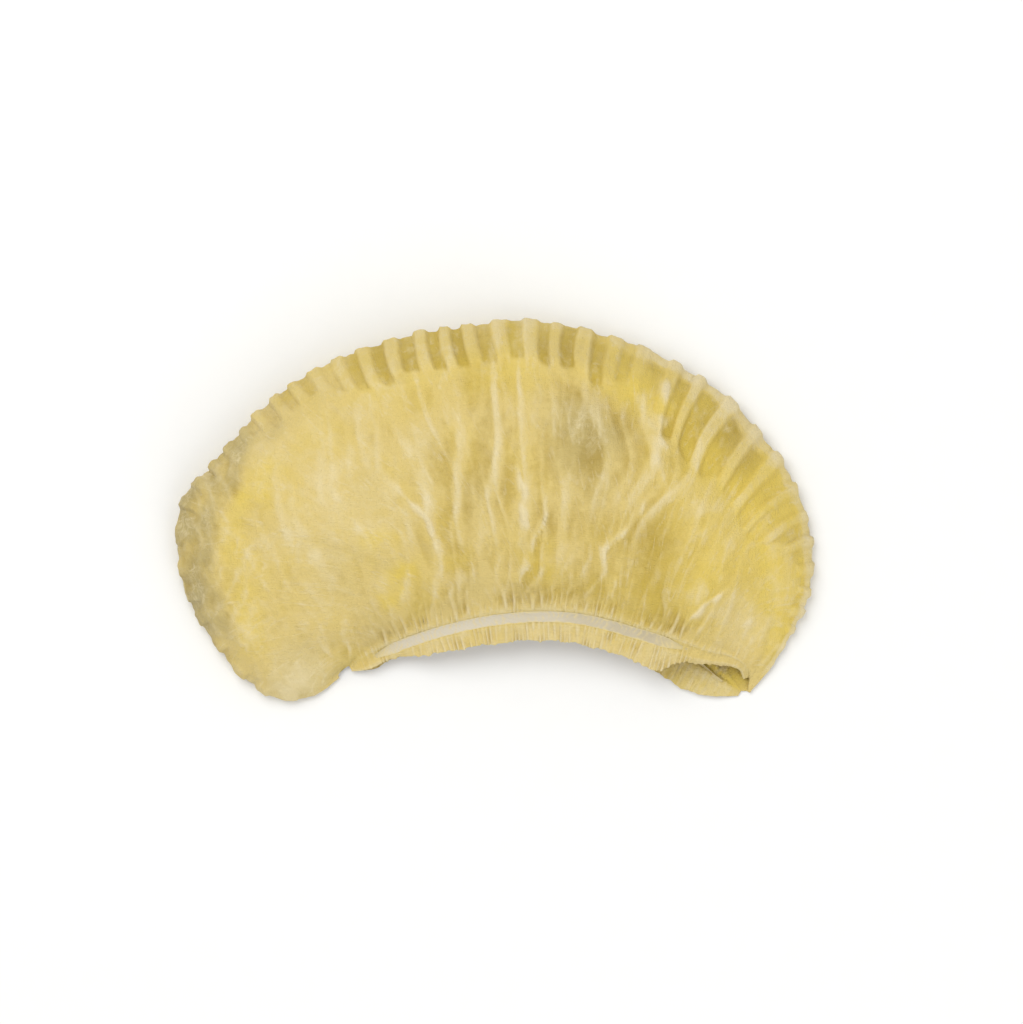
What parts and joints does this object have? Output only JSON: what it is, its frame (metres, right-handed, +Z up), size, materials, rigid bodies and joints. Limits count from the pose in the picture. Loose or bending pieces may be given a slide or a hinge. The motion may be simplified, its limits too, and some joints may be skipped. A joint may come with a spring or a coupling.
{
  "type": "disposable hair cover cap",
  "caption": "Pleated nonwoven hair cover cap lying relaxed on its side, with a fluted crown, a hollow open at the mouth, and a flat elastic tape with a ruffle along each edge of it.",
  "frame": {"origin": "on the ground under the middle of the cap's box, as it lies on its back panel", "axes": "+X along the mouth, from the puffed end to the end whose corner stands open; +Y from the mouth to the crown; +Z up, out of the front panel"},
  "size_m": [0.2822, 0.1689, 0.0478],
  "materials": {
    "nonwoven": "matt translucent spunbond nonwoven, pale yellow, crimped into flutes",
    "elastic": "matt white knitted elastic tape, ribbed along its length"
  },
  "bodies": {
    "root": {"cap_body": "nonwoven", "elastic_front": "elastic", "elastic_back": "elastic"}
  },
  "joints": []
}
